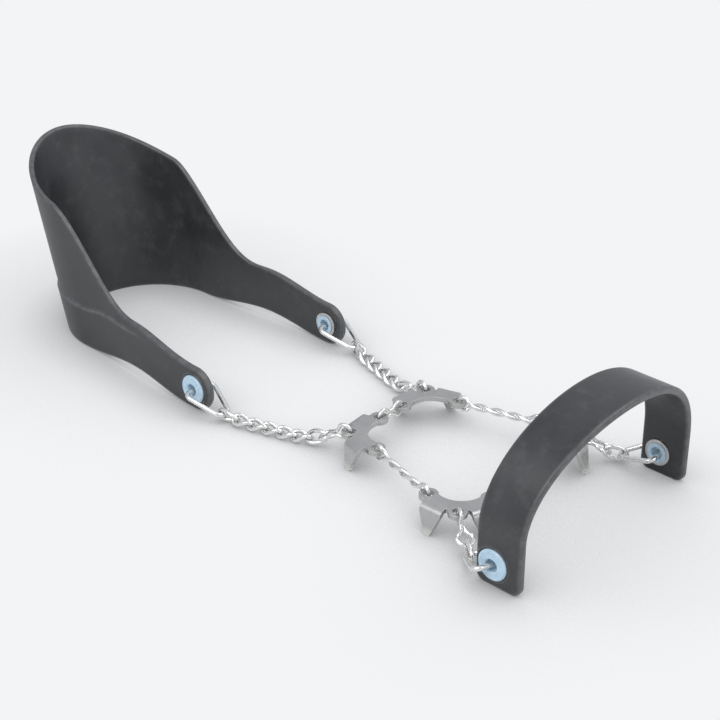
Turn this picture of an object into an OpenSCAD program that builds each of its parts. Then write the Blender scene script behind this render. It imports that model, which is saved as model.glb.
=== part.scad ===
// Strap-on ice cleat: four spike plates, wire links, curb chains and two rubber straps.
// Unworn, standing on its spikes and strap edges. Millimetres, +X to the toe, +Y to the left, +Z up.

/* [Spike plates] */
// distance between the two arm holes of a plate
plate_chord = 23; // [18:0.5:30]
// how far the outer hole stands off the line of the arm holes
plate_apex = 10.5; // [8:0.5:14]
// how far the middle of the curved band stands off that line
plate_sagitta = 7; // [5:0.5:8]
// width of the curved band
plate_band = 6.2; // [5:0.2:8]
// sheet thickness
plate_t = 2; // [1.5:0.1:2.6]
// hole diameter in the ears
ear_hole = 4; // [3.6:0.1:5]
// outer diameter of the ears
ear_d = 7.6; // [7:0.1:9]
// height of the spikes below the plates
spike_h = 9; // [7:0.5:11]
// spike width where it is bent down
spike_base = 9.6; // [8:0.2:11]
// spike width at its tip
spike_tip = 2.2; // [1.5:0.1:4]
// how far the spikes lean outward
spike_splay = 12; // [0:1:18]
// inside radius of the bend
bend_r = 1; // [0.6:0.1:2]
// direction of each spike, from the middle of its plate
spike_at = 33; // [31:1:36]
// how far the bends stand off the band's edge
spike_out = 0.3; // [0.2:0.1:1]

/* [Spike frame] */
// rear link, hole to hole
rear_link_len = 14; // [12:0.5:20]
// direction of the rear plates' arm holes
rear_plate_yaw = 50.4; // [44:0.2:56]
// side bars, hole to hole
side_bar_len = 37.8; // [32:0.2:48]
// direction of the side bars
side_bar_yaw = 16.1; // [10:0.1:22]
// direction of the front plates' arm holes
front_plate_yaw = -36.4; // [-42:0.2:-30]

/* [Wire links] */
// wire diameter of bars and connectors
bar_wire = 1.6; // [1.4:0.1:1.8]
// half turns twisted into each long bar
bar_half_turns = 4; // [1:1:5]
// half the distance between the two strands of a twisted shank
strand_half = 0.95; // [0.9:0.05:1.2]
// connector, wire in the plate hole to wire in the chain eye
connector_len = 14.5; // [13:0.5:18]
// bend radius of the connector's chain eye
connector_eye = 3; // [2.6:0.1:3.4]

/* [Chain] */
// chain wire diameter
chain_wire = 1.7; // [1.4:0.05:1.8]
// length of chain that one link adds
chain_pitch = 6.8; // [6.6:0.1:8]
// half width of a link, on the wire's middle
link_half_w = 2.45; // [2.4:0.05:3]
// squareness of a link's oval
link_square = 2.4; // [2.2:0.1:3]
// twist of each end of a curb link
curb_twist = 45; // [43:1:47]
// direction of the heel chains, off straight back
chain_yaw = 17; // [12:0.5:20]
// direction of the toe links, off straight forward
toe_yaw = 34; // [32:1:36]

/* [Hooks] */
// hook wire diameter
hook_wire = 2.1; // [1.8:0.1:2.3]
// hook length, chain end to eyelet
hook_len = 17; // [16.5:0.5:22]
// half width of a heel hook where it passes the eyelet
heel_hook_half = 7; // [6.8:0.2:9]
// half width of a toe hook where it passes the eyelet
toe_hook_half = 8.4; // [8.2:0.2:9.4]
// bend radius at the chain end
hook_nose = 3.5; // [3:0.1:4]
// bend radius at the eyelet end
hook_corner = 2.5; // [2:0.1:3]
// how far the toe hooks turn from straight forward
toe_hook_yaw = 16; // [14:1:17]

/* [Eyelets] */
// bore for the hook
eyelet_bore = 4.8; // [4.6:0.1:5.6]
// how far a heel hook's wire rests off the middle of its bore
hook_seat = 0.8; // [0:0.1:0.9]
// barrel outer diameter
eyelet_barrel = 7; // [6.4:0.1:7.8]
// flange diameter
eyelet_flange = 12.6; // [11:0.2:14]
// flange thickness at the middle
flange_t = 1.5; // [1:0.1:1.8]
// back washer diameter
washer_d = 11; // [10:0.2:12]
// back washer thickness
washer_t = 0.8; // [0.6:0.1:1.2]
// rolled lip that holds the washer
lip_d = 8.4; // [8:0.1:9]
// lip thickness
lip_t = 0.5; // [0.4:0.1:0.8]

/* [Straps] */
// rubber thickness
strap_t = 3.2; // [2.6:0.1:4]
// bevel of the rubber's edges
strap_edge = 0.8; // [0.4:0.1:1.2]
// height of the eyelets above the floor
eyelet_z = 9.6; // [9:0.1:10.5]
// inside width of the heel strap at the heel
heel_width = 68; // [60:1:76]
// eyelet to the back of the heel strap
heel_reach = 113; // [100:1:130]
// height of the heel strap's arms
heel_arm_h = 25; // [23:1:30]
// height of the heel cup where it meets the arms
heel_cup_h = 60; // [50:1:66]
// height of the heel cup's pull tab at the back
heel_spine_h = 78; // [66:1:90]
// how far the heel cup leans back
heel_rake = 16; // [0:1:22]
// how far the arms' lower edge is arched
heel_lift = 4; // [0:0.5:6]
// height of the heel strap's thick lower band
heel_rib_h = 20; // [16:1:24]
// how much thinner the strap is above that band
heel_thin = 0.8; // [0:0.1:1.2]
// height of the toe strap's arch
toe_arch_h = 60; // [52:1:70]
// width of the toe strap at its ends
toe_foot_w = 20; // [18:0.5:24]
// width of the toe strap at the top
toe_top_w = 23; // [18:0.5:28]
// how far the toe strap's top stands forward
toe_lean = 4; // [0:0.5:8]
// rounding of the toe strap's ends
toe_corner = 4; // [2:0.5:6]

/* [Clearances] */
// room between chain links that hang in each other
link_gap = 0.5; // [0.4:0.05:0.8]
// room between a hook or connector and the link in it
eye_gap = 0.6; // [0.5:0.05:0.9]
// room between an eyelet barrel and its seat
seat_gap = 0.02; // [0:0.01:0.04]

/* [Hidden] */
$fn = 48;
sides = 8;
link_sides = 7;
links = 7;

function smooth(t) = let (c = min(1, max(0, t))) c * c * (3 - 2 * c);
function clamp(t) = min(1, max(0, t));
function along(yaw, pitch) = [cos(pitch) * cos(yaw), cos(pitch) * sin(yaw), sin(pitch)];
function flat(yaw) = [cos(yaw), sin(yaw), 0];
function unit(v) = v / norm(v);
function flip(p) = [p[0], -p[1], p[2]];
function power(v, e) = v == 0 ? 0 : sign(v) * pow(abs(v), e);

// plates: the band is an arc through both arm holes and its own middle
plate_mid_z = spike_h + plate_t / 2;
band_r = (pow(plate_chord / 2, 2) + pow(plate_sagitta, 2)) / (2 * plate_sagitta);
band_x = plate_sagitta - band_r;
band_sweep = asin(plate_chord / 2 / band_r);
spike_r = band_r + plate_band / 2 + spike_out;
// a wire ring through an ear is centred on the rim between hole and edge
rim = ear_hole / 2 + (ear_d - ear_hole) / 4;

// plan of the left half of the spike frame, from the middle of the rear link
rear_b = [0, rear_link_len / 2, plate_mid_z];
rear_a = rear_b + plate_chord * flat(rear_plate_yaw);
rear_mid = (rear_a + rear_b) / 2;
rear_o = rear_mid + plate_apex * flat(rear_plate_yaw + 90);
front_l = rear_a + side_bar_len * flat(side_bar_yaw);
front_d = front_l + plate_chord * flat(front_plate_yaw);
front_mid = (front_l + front_d) / 2;
front_o = front_mid + plate_apex * flat(front_plate_yaw + 90);

// chain links: half length on the wire's middle, and the overlaps of linked wires
link_half_l = (chain_pitch + chain_wire + link_gap) / 2;
in_connector = link_half_l - (chain_wire + bar_wire) / 2 - eye_gap;
in_hook = link_half_l - (chain_wire + hook_wire) / 2 - eye_gap;
// a curb link lies flat at this height, an upright link end needs more
curb_z = 0.506 * link_half_w + chain_wire / 2;
upright_z = link_half_w + chain_wire / 2;
upright_mid_z = 0.94 * link_half_w + chain_wire / 2;

// heel chain: joints from the plate rim to the hook, sloping down to the floor
heel_dir = 180 - chain_yaw;
heel_connector_pitch = -26;
heel_first_pitch = -20;
heel_j0 = rear_o + rim * flat(heel_dir);
heel_j1 = heel_j0 + (connector_len - rim) * along(heel_dir, heel_connector_pitch);
heel_j2 = heel_j1 + (in_connector + chain_pitch / 2) * along(heel_dir, heel_first_pitch);
heel_second_pitch = -asin((heel_j2[2] - curb_z) / chain_pitch);
heel_j3 = heel_j2 + chain_pitch * along(heel_dir, heel_second_pitch);
heel_j6 = heel_j3 + (links - 4) * chain_pitch * flat(heel_dir);
heel_sixth_pitch = 5;
heel_j7 = heel_j6 + chain_pitch * along(heel_dir, heel_sixth_pitch);
heel_last_pitch = asin((upright_mid_z - heel_j7[2]) / (chain_pitch / 2));
heel_j8 = heel_j7 + (chain_pitch / 2 + in_hook) * along(heel_dir, heel_last_pitch);
heel_hook_pitch = asin((eyelet_z - heel_j8[2]) / hook_len);
heel_eye = heel_j8 + hook_len * along(180, heel_hook_pitch) + hook_seat * flat(180);

// toe side: connector, one upright link, hook
toe_connector_pitch = -30;
toe_j0 = front_o + rim * flat(toe_yaw);
toe_j1 = toe_j0 + (connector_len - rim) * along(toe_yaw, toe_connector_pitch);
toe_link_pitch = -asin((toe_j1[2] - upright_z - 0.12) / (in_connector + in_hook));
toe_mid = toe_j1 + in_connector * along(toe_yaw, toe_link_pitch);
toe_j2 = toe_mid + in_hook * along(toe_yaw, toe_link_pitch);
toe_hook_pitch = asin((eyelet_z - toe_j2[2]) / hook_len);
toe_eye = toe_j2 + hook_len * along(toe_hook_yaw, toe_hook_pitch);

// heel strap in plan: tabs along the boot, arms closing in to a half circle
heel_r = heel_width / 2 + strap_t / 2;
heel_arc_x = heel_eye[0] - heel_reach + heel_r + strap_t / 2;
tab_r = eyelet_z;

// toe strap: upright ends, then half an ellipse over the toe
toe_side_h = 2 * eyelet_z + 2;
toe_top = toe_arch_h - strap_t / 2;
toe_shift = 2;

// the part's frame has its origin under the middle of the part
x_back = heel_eye[0] - heel_reach + heel_thin - tan(heel_rake) * (heel_spine_h - strap_edge);
x_front = toe_eye[0] + toe_shift + toe_lean + toe_top_w / 2;
x_mid = (x_back + x_front) / 2;

steel = [0.75, 0.75, 0.73];
rubber = [0.09, 0.09, 0.1];

module in_frame(side) {
    translate([-x_mid, 0, 0])
        mirror([0, side < 0 ? 1 : 0, 0]) children();
}

// places a link drawn along X at p, turned by yaw and raised by pitch
module set_at(p, yaw, pitch) {
    translate(p) rotate([0, -pitch, yaw]) children();
}

// a closed tube on a loop of points, each with a direction across the wire
module wire_loop(path, across, r, n) {
    count = len(path);
    points = [for (i = [0:count - 1])
        let (t = unit(path[(i + 1) % count] - path[(i + count - 1) % count]),
             a = unit(across[i] - (across[i] * t) * t),
             b = cross(t, a))
        for (k = [0:n - 1]) path[i] + r * (cos(360 * k / n) * a + sin(360 * k / n) * b)];
    faces = [for (i = [0:count - 1]) for (k = [0:n - 1])
        let (j = (i + 1) % count, m = (k + 1) % n)
        for (f = [[i * n + k, j * n + m, i * n + m], [i * n + k, j * n + k, j * n + m]]) f];
    polyhedron(points, faces);
}

// flat outline of a link with a round eye at each end and a pinched shank
function pinch(u, ca, cb, ra, rb, la, lb) =
    u < ca + la ? strand_half + (ra - strand_half) * (1 - smooth((u - ca) / la)) :
    u > cb - lb ? strand_half + (rb - strand_half) * smooth((u - cb + lb) / lb) : strand_half;

function eye_outline(u0, u1, ra, rb, la, lb, n) =
    let (ca = u0 + ra, cb = u1 - rb, m = 6) concat(
        [for (i = [0:n]) let (u = ca + (cb - ca) * i / n) [u, pinch(u, ca, cb, ra, rb, la, lb)]],
        [for (i = [1:m - 1]) let (q = 90 - 180 * i / m) [cb + rb * cos(q), rb * sin(q)]],
        [for (i = [0:n]) let (u = cb - (cb - ca) * i / n) [u, -pinch(u, ca, cb, ra, rb, la, lb)]],
        [for (i = [1:m - 1]) let (q = -90 - 180 * i / m) [ca + ra * cos(q), ra * sin(q)]]);

function link_outline(n) = [for (i = [0:n - 1]) let (q = 360 * (i + 0.5) / n)
    [link_half_l * power(cos(q), 2 / link_square), link_half_w * power(sin(q), 2 / link_square)]];

// turns each point of a flat outline about X by its own angle
function twisted(uv, turn) = [for (i = [0:len(uv) - 1])
    [uv[i][0], uv[i][1] * cos(turn[i]), uv[i][1] * sin(turn[i])]];
function twist_across(turn) = [for (q = turn) [0, -sin(q), cos(q)]];

// a link of round wire with an eye at each end, twisted between them
module eye_link(u0, u1, ra, rb, la, lb, turn_a, turn_b, n) {
    uv = eye_outline(u0, u1, ra, rb, la, lb, n);
    ua = u0 + ra + 0.3 * la;
    ub = u1 - rb - 0.3 * lb;
    turn = [for (p = uv) turn_a + (turn_b - turn_a) * clamp((p[0] - ua) / (ub - ua))];
    wire_loop(twisted(uv, turn), twist_across(turn), bar_wire / 2, link_sides);
}

// a long bar between two ear holes: eyes upright, strands twisted
module bar(from, length, yaw, half_turns) {
    set_at(from, yaw, 0)
        eye_link(0, length, rim, rim, 4, 4, 90, 90 + 180 * half_turns, 28);
}

// one chain link, its two ends turned by their own angles
module chain_link(turn_a, turn_b) {
    uv = link_outline(22);
    turn = [for (p = uv) turn_a + (turn_b - turn_a) * smooth(p[0] / (2 * link_half_l) + 0.5)];
    wire_loop(twisted(uv, turn), twist_across(turn), chain_wire / 2, link_sides);
}

// connector from a plate's outer ear to the chain
module connector(from, yaw, pitch) {
    set_at(from, yaw, pitch)
        eye_link(-rim, connector_len - rim, rim, connector_eye, 4, 3.6, 90, 0, 12);
}

// rounded triangle of wire: nose in the chain, straight side through the eyelet
module hook(from, yaw, pitch, half) {
    cb = hook_len - hook_corner;
    reach = norm([cb - hook_nose, half - hook_corner]);
    q = 90 + atan2(half - hook_corner, cb - hook_nose) + asin((hook_corner - hook_nose) / reach);
    m = 8;
    path = concat(
        [for (i = [0:m]) let (a = 360 - q + (2 * q - 360) * i / m)
            [hook_nose + hook_nose * cos(a), hook_nose * sin(a), 0]],
        [for (i = [0:m]) let (a = q - q * i / m)
            [cb + hook_corner * cos(a), half - hook_corner + hook_corner * sin(a), 0]],
        [for (i = [0:m]) let (a = -q * i / m)
            [cb + hook_corner * cos(a), hook_corner - half + hook_corner * sin(a), 0]]);
    set_at(from, yaw, pitch)
        wire_loop(path, [for (p = path) [0, 0, 1]], hook_wire / 2, sides);
}

// the bend and blade of one spike, leading off along X, from the middle of its bend
module spike() {
    turn = 90 - spike_splay;
    rotate([90, 0, 0]) rotate([0, 0, spike_splay]) rotate_extrude(angle = turn)
        translate([bend_r, -spike_base / 2]) square([plate_t, spike_base]);
    rotate([0, turn, 0]) translate([0, 0, bend_r]) linear_extrude(plate_t)
        polygon([[0, -spike_base / 2], [0, spike_base / 2],
            [spike_h, spike_tip / 2], [spike_h, -spike_tip / 2]]);
}

// spike plate: curved band, two arm ears, outer ear, two spikes; arm holes on Y, outer hole on X
module spike_plate(mid, yaw) {
    ears = [[0, plate_chord / 2], [0, -plate_chord / 2], [plate_apex, 0]];
    far = 3 * band_r;
    translate([mid[0], mid[1], 0]) rotate([0, 0, yaw + 90]) difference() {
        union() {
            translate([0, 0, spike_h]) linear_extrude(plate_t) {
                intersection() {
                    translate([band_x, 0]) difference() {
                        circle(band_r + plate_band / 2, $fn = 96);
                        circle(band_r - plate_band / 2, $fn = 96);
                    }
                    polygon([[band_x, 0], [band_x + far * cos(band_sweep), far * sin(band_sweep)],
                        [far, 0], [band_x + far * cos(band_sweep), -far * sin(band_sweep)]]);
                }
                for (e = ears) translate(e) circle(ear_d / 2);
                for (s = [1, -1]) translate([band_x, 0]) rotate(s * spike_at)
                    translate([band_r, -spike_base / 2]) square([spike_r - band_r, spike_base]);
            }
            for (s = [1, -1]) translate([band_x, 0, spike_h - bend_r]) rotate([0, 0, s * spike_at])
                translate([spike_r, 0, 0]) spike();
        }
        for (e = ears) translate([e[0], e[1], spike_h - 1]) cylinder(h = plate_t + 2, d = ear_hole);
        translate([-far, -far, -10]) cube([2 * far, 2 * far, 10]);
    }
}

// eyelet: domed flange outside, barrel through the strap, rolled lip inside
module eyelet(at) {
    outer = strap_t / 2;
    back = -strap_t / 2 - washer_t;
    translate(at) rotate([-90, 0, 0]) rotate_extrude()
        polygon([[eyelet_bore / 2, back - lip_t], [lip_d / 2, back - lip_t], [lip_d / 2, back],
            [eyelet_barrel / 2, back], [eyelet_barrel / 2, outer], [eyelet_flange / 2, outer],
            [eyelet_flange / 2, outer + 0.5 * flange_t], [eyelet_flange / 2 - 0.8, outer + 0.85 * flange_t],
            [eyelet_bore / 2 + 1.2, outer + flange_t], [eyelet_bore / 2 + 0.4, outer + 0.9 * flange_t],
            [eyelet_bore / 2, outer + 0.6 * flange_t]]);
}

module back_washer(at) {
    translate(at) rotate([-90, 0, 0]) translate([0, 0, -strap_t / 2 - washer_t]) difference() {
        cylinder(h = washer_t, d = washer_d);
        translate([0, 0, -1]) cylinder(h = washer_t + 2, d = eyelet_barrel + 2 * seat_gap);
    }
}

// a band lofted through rings of points
module band(rings) {
    count = len(rings);
    n = len(rings[0]);
    points = [for (r = rings) for (p = r) p];
    walls = [for (i = [0:count - 2]) for (k = [0:n - 1]) let (m = (k + 1) % n, j = i + 1)
        for (f = [[n * i + k, n * i + m, n * j + m], [n * i + k, n * j + m, n * j + k]]) f];
    first = [for (k = [1:n - 2]) [0, k + 1, k]];
    last = [for (k = [1:n - 2]) n * (count - 1) * [1, 1, 1] + [0, k, k + 1]];
    polyhedron(points, concat(walls, first, last));
}

// ring across a band: offset along the outward direction, position across the width
function ring_section(lo, hi) = let (h = strap_t / 2, c = strap_edge)
    [[h - c, lo], [h, lo + c], [h, hi - c], [h - c, hi],
        [c - h, hi], [-h, hi - c], [-h, lo + c], [c - h, lo]];
// the same with the outer face set back above a step
function step_section(lo, hi, step, thin) =
    let (h = strap_t / 2, c = strap_edge, rise = min(c, (hi - lo) / 10))
    [[h - c, lo], [h, lo + c], [h, step - rise], [h - thin, step], [h - thin, hi - c], [h - thin - c, hi],
        [c - h, hi], [-h, hi - c], [-h, lo + c], [c - h, lo]];

// places along half of the heel strap, 0 at the eyelet and 1 at the middle of the back:
// the steep front edge of the cup, the rise to the pull tab, the stretch over which the cup comes to lean back
cup_start = 0.3;
cup_end = 0.6;
spine_start = 0.45;
lean_start = 0.3;
lean_end = 0.7;
// heel strap, left half: x, y, lower edge, upper edge, place along it, from the tab to the middle of the back
function heel_upper(v) = 2 * tab_r + (heel_arm_h - 2 * tab_r) * smooth(v / cup_start)
    + (heel_cup_h - heel_arm_h) * smooth(pow(max(0, v - cup_start) / (cup_end - cup_start), 1.5))
    + (heel_spine_h - heel_cup_h) * smooth((v - spine_start) / (1 - spine_start));
function heel_lean(v) = tan(heel_rake) * smooth((v - lean_start) / (lean_end - lean_start));
// top of the thick lower band, which runs out into the arms' upper edge
function heel_step(v, lo, hi) = let (top = hi - strap_edge - (hi - lo - 2 * strap_edge) / 10)
    top - (top - heel_rib_h) * smooth((v - 0.2) / 0.35);
function heel_set_back(v) = heel_thin * smooth((v - 0.2) / 0.15);
heel_arm_l = heel_eye[0] - heel_arc_x;
heel_half_l = heel_arm_l + heel_r * PI / 2;
heel_half = concat(
    [for (i = [0:6]) let (q = 80 - 80 * i / 6)
        [heel_eye[0] + tab_r * sin(q), heel_eye[1], eyelet_z - tab_r * cos(q), eyelet_z + tab_r * cos(q), 0]],
    [for (i = [1:17]) let (u = i / 18, v = heel_arm_l * u / heel_half_l)
        [heel_eye[0] + (heel_arc_x - heel_eye[0]) * u,
            heel_eye[1] + (heel_r - heel_eye[1]) * smooth((u - 0.14) / 0.86),
            heel_lift * pow(sin(180 * u), 2), heel_upper(v), v]],
    [for (i = [0:18]) let (q = 5 * i, v = (heel_arm_l + heel_r * PI * q / 180) / heel_half_l)
        [heel_arc_x - heel_r * sin(q), heel_r * cos(q), 0, heel_upper(v), v]]);
heel_path = concat(heel_half, [for (i = [len(heel_half) - 2:-1:0])
    let (p = heel_half[i]) [p[0], -p[1], p[2], p[3], p[4]]]);

module heel_strap() {
    last = len(heel_path) - 1;
    rings = [for (i = [0:last])
        let (p = heel_path[i], a = heel_path[max(0, i - 1)], b = heel_path[min(last, i + 1)],
             t = unit([b[0] - a[0], b[1] - a[1]]), n = [t[1], -t[0]])
        [for (s = step_section(p[2], p[3], heel_step(p[4], p[2], p[3]), heel_set_back(p[4])))
            [p[0] + n[0] * s[0] - heel_lean(p[4]) * s[1], p[1] + n[1] * s[0], s[1]]]];
    color(rubber) in_frame(1) difference() {
        band(rings);
        translate([heel_eye[0], 0, eyelet_z]) rotate([90, 0, 0])
            cylinder(h = 4 * heel_width, d = eyelet_barrel + 2 * seat_gap, center = true);
    }
}

// toe strap, left half: y, z, rear edge, front edge, from the floor to the middle of the top
function toe_edges(u) =
    let (w = toe_foot_w / 2 + (toe_top_w - toe_foot_w) / 2 * u, m = toe_shift + toe_lean * u)
    [toe_eye[0] + m - w, toe_eye[0] + m + w];
toe_half = concat(
    [for (i = [0:4]) let (z = toe_corner * (1 - cos(90 * i / 4)), e = toe_edges(0),
        cut = toe_corner * (1 - sin(90 * i / 4)))
        [toe_eye[1], z, e[0] + cut, e[1] - cut]],
    [for (i = [1:4]) let (z = toe_corner + (toe_side_h - toe_corner) * i / 5, e = toe_edges(0))
        [toe_eye[1], z, e[0], e[1]]],
    [for (i = [0:15]) let (q = 6 * i, e = toe_edges(smooth(i / 15)))
        [toe_eye[1] * cos(q), toe_side_h + (toe_top - toe_side_h) * sin(q), e[0], e[1]]]);
toe_path = concat(toe_half, [for (i = [len(toe_half) - 2:-1:0])
    let (p = toe_half[i]) [-p[0], p[1], p[2], p[3]]]);

module toe_strap() {
    last = len(toe_path) - 1;
    rings = [for (i = [0:last])
        let (p = toe_path[i], a = toe_path[max(0, i - 1)], b = toe_path[min(last, i + 1)],
             t = unit([b[0] - a[0], b[1] - a[1]]), n = [t[1], -t[0]])
        [for (s = ring_section(p[2], p[3])) [s[1], p[0] + n[0] * s[0], p[1] + n[1] * s[0]]]];
    color(rubber) in_frame(1) difference() {
        band(rings);
        translate([toe_eye[0], 0, eyelet_z]) rotate([90, 0, 0])
            cylinder(h = 4 * toe_eye[1], d = eyelet_barrel + 2 * seat_gap, center = true);
    }
}

module rear_plate(side) {
    color(steel) in_frame(side) spike_plate(rear_mid, rear_plate_yaw);
}

module front_plate(side) {
    color(steel) in_frame(side) spike_plate(front_mid, front_plate_yaw);
}

module rear_link() {
    color(steel) in_frame(1) set_at(flip(rear_b), 90, 0)
        eye_link(0, rear_link_len, rim, rim, 3.6, 3.6, 90, 90, 12);
}

module front_bar() {
    color(steel) in_frame(1) bar(flip(front_d), 2 * front_d[1], 90, bar_half_turns);
}

module side_bar(side) {
    color(steel) in_frame(side) bar(rear_a, side_bar_len, side_bar_yaw, bar_half_turns);
}

module heel_connector(side) {
    color(steel) in_frame(side) connector(heel_j0, heel_dir, heel_connector_pitch);
}

module toe_connector(side) {
    color(steel) in_frame(side) connector(toe_j0, toe_yaw, toe_connector_pitch);
}

// heel chain links, counted from the plate; the end links turn upright to meet connector and hook
module heel_link(number, side) {
    color(steel) in_frame(side) {
        if (number == 1)
            set_at(heel_j1 + in_connector * along(heel_dir, heel_first_pitch), heel_dir, heel_first_pitch)
                chain_link(90, curb_twist);
        else if (number == 2)
            set_at((heel_j2 + heel_j3) / 2, heel_dir, heel_second_pitch) chain_link(-curb_twist, curb_twist);
        else if (number < links - 1)
            set_at(heel_j3 + (number - 2.5) * chain_pitch * flat(heel_dir), heel_dir, 0)
                chain_link(-curb_twist, curb_twist);
        else if (number < links)
            set_at((heel_j6 + heel_j7) / 2, heel_dir, heel_sixth_pitch) chain_link(-curb_twist, curb_twist);
        else
            set_at(heel_j7 + chain_pitch / 2 * along(heel_dir, heel_last_pitch), heel_dir, heel_last_pitch)
                chain_link(-curb_twist, -90);
    }
}

module toe_link(side) {
    color(steel) in_frame(side) set_at(toe_mid, toe_yaw, toe_link_pitch) chain_link(90, 90);
}

module heel_hook(side) {
    color(steel) in_frame(side) hook(heel_j8, 180, heel_hook_pitch, heel_hook_half);
}

module toe_hook(side) {
    color(steel) in_frame(side) hook(toe_j2, toe_hook_yaw, toe_hook_pitch, toe_hook_half);
}

module heel_eyelet(side) {
    color([0.6, 0.75, 0.88]) in_frame(side) eyelet(heel_eye);
}

module toe_eyelet(side) {
    color([0.6, 0.75, 0.88]) in_frame(side) eyelet(toe_eye);
}

module heel_washer(side) {
    color(steel) in_frame(side) back_washer(heel_eye);
}

module toe_washer(side) {
    color(steel) in_frame(side) back_washer(toe_eye);
}

rear_plate(1);  // rear_plate_left
rear_plate(-1);  // rear_plate_right
front_plate(1);  // front_plate_left
front_plate(-1);  // front_plate_right
rear_link();
front_bar();
side_bar(1);  // side_bar_left
side_bar(-1);  // side_bar_right
heel_connector(1);  // heel_connector_left
heel_connector(-1);  // heel_connector_right
toe_connector(1);  // toe_connector_left
toe_connector(-1);  // toe_connector_right
heel_link(1, 1);  // heel_link_1_left
heel_link(2, 1);  // heel_link_2_left
heel_link(3, 1);  // heel_link_3_left
heel_link(4, 1);  // heel_link_4_left
heel_link(5, 1);  // heel_link_5_left
heel_link(6, 1);  // heel_link_6_left
heel_link(7, 1);  // heel_link_7_left
heel_link(1, -1);  // heel_link_1_right
heel_link(2, -1);  // heel_link_2_right
heel_link(3, -1);  // heel_link_3_right
heel_link(4, -1);  // heel_link_4_right
heel_link(5, -1);  // heel_link_5_right
heel_link(6, -1);  // heel_link_6_right
heel_link(7, -1);  // heel_link_7_right
toe_link(1);  // toe_link_left
toe_link(-1);  // toe_link_right
heel_hook(1);  // heel_hook_left
heel_hook(-1);  // heel_hook_right
toe_hook(1);  // toe_hook_left
toe_hook(-1);  // toe_hook_right
heel_eyelet(1);  // heel_eyelet_left
heel_eyelet(-1);  // heel_eyelet_right
toe_eyelet(1);  // toe_eyelet_left
toe_eyelet(-1);  // toe_eyelet_right
heel_washer(1);  // heel_washer_left
heel_washer(-1);  // heel_washer_right
toe_washer(1);  // toe_washer_left
toe_washer(-1);  // toe_washer_right
heel_strap();
toe_strap();
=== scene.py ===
"""Looks of a strap-on ice cleat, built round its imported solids. Layout in millimetres, objects in metres."""
import math

import bmesh
import bpy
from mathutils import Matrix, Vector

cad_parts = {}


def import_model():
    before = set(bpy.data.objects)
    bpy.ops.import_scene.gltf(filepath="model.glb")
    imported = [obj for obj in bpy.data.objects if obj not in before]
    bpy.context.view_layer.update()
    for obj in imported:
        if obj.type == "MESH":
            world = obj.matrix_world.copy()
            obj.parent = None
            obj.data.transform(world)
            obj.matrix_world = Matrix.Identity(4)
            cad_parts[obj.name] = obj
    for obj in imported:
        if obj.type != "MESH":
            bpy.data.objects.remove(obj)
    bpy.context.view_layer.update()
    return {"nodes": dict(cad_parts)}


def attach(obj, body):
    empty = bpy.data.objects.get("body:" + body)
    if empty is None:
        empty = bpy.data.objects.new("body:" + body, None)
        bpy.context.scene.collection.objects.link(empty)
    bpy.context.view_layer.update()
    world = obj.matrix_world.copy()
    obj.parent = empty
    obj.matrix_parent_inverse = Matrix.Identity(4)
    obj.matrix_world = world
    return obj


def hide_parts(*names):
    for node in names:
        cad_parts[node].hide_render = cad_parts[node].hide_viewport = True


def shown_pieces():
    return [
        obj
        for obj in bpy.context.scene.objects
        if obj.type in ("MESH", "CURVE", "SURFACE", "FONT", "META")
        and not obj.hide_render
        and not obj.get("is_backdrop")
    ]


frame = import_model()

MM = 0.001
SIDES = ((1, "left"), (-1, "right"))

# spike plates and the wire frame between them
PLATE_CHORD = 23.0
PLATE_APEX = 10.5
PLATE_T = 2.0
EAR_HOLE = 4.0
EAR_D = 7.6
SPIKE_H = 9.0
REAR_LINK_LEN = 14.0
REAR_PLATE_YAW = 50.4
SIDE_BAR_LEN = 37.8
SIDE_BAR_YAW = 16.1
FRONT_PLATE_YAW = -36.4
BAR_WIRE = 1.6
BAR_HALF_TURNS = 4
STRAND_HALF = 0.88
EYE_TAPER = 4.0
SHORT_TAPER = 3.6
TWIST_START = 0.3
CONNECTOR_LEN = 14.5
CONNECTOR_EYE = 3.0

# chains and hooks
CHAIN_WIRE = 1.7
CHAIN_PITCH = 6.8
LINK_HALF_W = 2.45
LINK_SQUARE = 2.4
CURB_TWIST = 45
CURB_RISE = 0.506
UPRIGHT_RISE = 0.94
CHAIN_YAW = 17
TOE_YAW = 34
TOE_LINK_CLEAR = 0.12
LINKS = 7
LINK_GAP = 0.5
EYE_GAP = 0.6
HOOK_WIRE = 2.1
HOOK_LEN = 17.0
HEEL_HOOK_HALF = 7.0
TOE_HOOK_HALF = 8.4
HOOK_NOSE = 3.5
HOOK_CORNER = 2.5
TOE_HOOK_YAW = 16
HOOK_SEAT = 0.8

# eyelets and washers
EYELET_BORE = 4.8
EYELET_BARREL = 7.0
EYELET_FLANGE = 12.6
FLANGE_T = 1.5
WASHER_D = 11.0
WASHER_T = 0.8
LIP_D = 8.4
LIP_T = 0.5
SEAT_GAP = 0.02
SEAT_R = EYELET_BARREL / 2 + SEAT_GAP

# straps
STRAP_T = 3.2
STRAP_EDGE = 0.8
EDGE_ROUND = 1.1
EYELET_Z = 9.6
HEEL_WIDTH = 68.0
HEEL_REACH = 113.0
HEEL_ARM_H = 25.0
HEEL_CUP_H = 60.0
HEEL_SPINE_H = 78.0
HEEL_RAKE = 16
HEEL_LIFT = 4.0
HEEL_RIB_H = 20.0
HEEL_THIN = 0.8
TOE_ARCH_H = 60.0
TOE_FOOT_W = 20.0
TOE_TOP_W = 23.0
TOE_LEAN = 4.0
TOE_CORNER = 4.0
TOE_SHIFT = 2.0
TOE_SIDE_OVER = 2.0
RING_R = 6.95
RING_W = 0.75
RING_H = 0.55

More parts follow.
